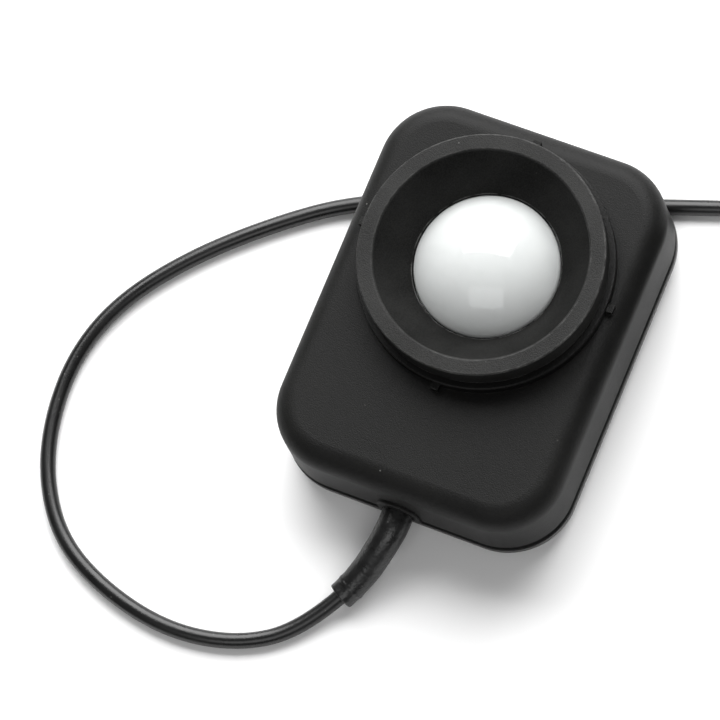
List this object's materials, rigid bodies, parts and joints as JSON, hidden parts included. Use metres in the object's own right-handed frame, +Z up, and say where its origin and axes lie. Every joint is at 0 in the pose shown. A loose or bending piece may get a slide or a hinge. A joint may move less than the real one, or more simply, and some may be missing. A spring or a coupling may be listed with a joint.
{
  "type": "light sensor head",
  "caption": "Light meter sensor head: rounded black housing, white opal dome in a conical shade collar, moulded boot and thin fixed lead ending in a round plug.",
  "frame": {"origin": "on the surface the feet stand on, under the middle of the head; the free lead and what is on it are not counted", "axes": "+Z up through the dome side, +Y along the head's long side away from the lead's outlet, +X across"},
  "size_m": [0.1901, 0.143, 0.0352],
  "materials": {
    "shell_plastic": "fine grained matt black moulding",
    "collar_plastic": "fine grained matt black moulding",
    "opal_plastic": "polished white opal",
    "seal_rubber": "matt",
    "foot_rubber": "matt",
    "screw_steel": "zinc plated",
    "board_laminate": "solder resist over glass laminate",
    "filter_glass": "green colour correcting glass",
    "window_glass": "clear",
    "silicon": "polished",
    "nickel_plate": "nickel plated",
    "chip_epoxy": "moulded",
    "chip_ceramic": "fired ceramic",
    "trimmer_plastic": "moulded",
    "header_plastic": "moulded",
    "cable_jacket": "satin, softly extruded",
    "boot_rubber": "semi-gloss, slightly mottled",
    "wire_red": "extruded",
    "wire_white": "extruded",
    "wire_green": "extruded",
    "wire_black": "extruded",
    "tie_fabric": "woven hook and loop",
    "plug_plastic": "satin moulding"
  },
  "bodies": {
    "root": {"amplifier_chip": "chip_epoxy", "amplifier_legs": "nickel_plate", "board_screws": "screw_steel", "cable_boot": "boot_rubber", "cable_clamp": "collar_plastic", "cable_coil": "cable_jacket", "cable_end": "cable_jacket", "cable_lead": "cable_jacket", "cable_tail": "cable_jacket", "chip_passives": "chip_ceramic", "circuit_board": "board_laminate", "clamp_screws": "screw_steel", "coil_tie": "tie_fabric", "cover_screws": "screw_steel", "diffuser_dome": "opal_plastic", "dome_seal": "seal_rubber", "foot_far_left": "foot_rubber", "foot_far_right": "foot_rubber", "foot_front_left": "foot_rubber", "foot_front_right": "foot_rubber", "front_shell": "shell_plastic", "gain_trimmer": "trimmer_plastic", "light_tube": "collar_plastic", "photocell_can": "nickel_plate", "photocell_chip": "silicon", "photocell_leads": "nickel_plate", "photocell_window": "window_glass", "photopic_filter": "filter_glass", "plug_body": "plug_plastic", "plug_insulator": "header_plastic", "plug_pins": "nickel_plate", "plug_shell": "nickel_plate", "rear_cover": "shell_plastic", "retaining_ring": "collar_plastic", "ring_screws": "screw_steel", "seam_gasket": "seal_rubber", "shade_collar": "collar_plastic", "wire_black": "wire_black", "wire_green": "wire_green", "wire_header": "header_plastic", "wire_red": "wire_red", "wire_white": "wire_white"}
  },
  "joints": []
}
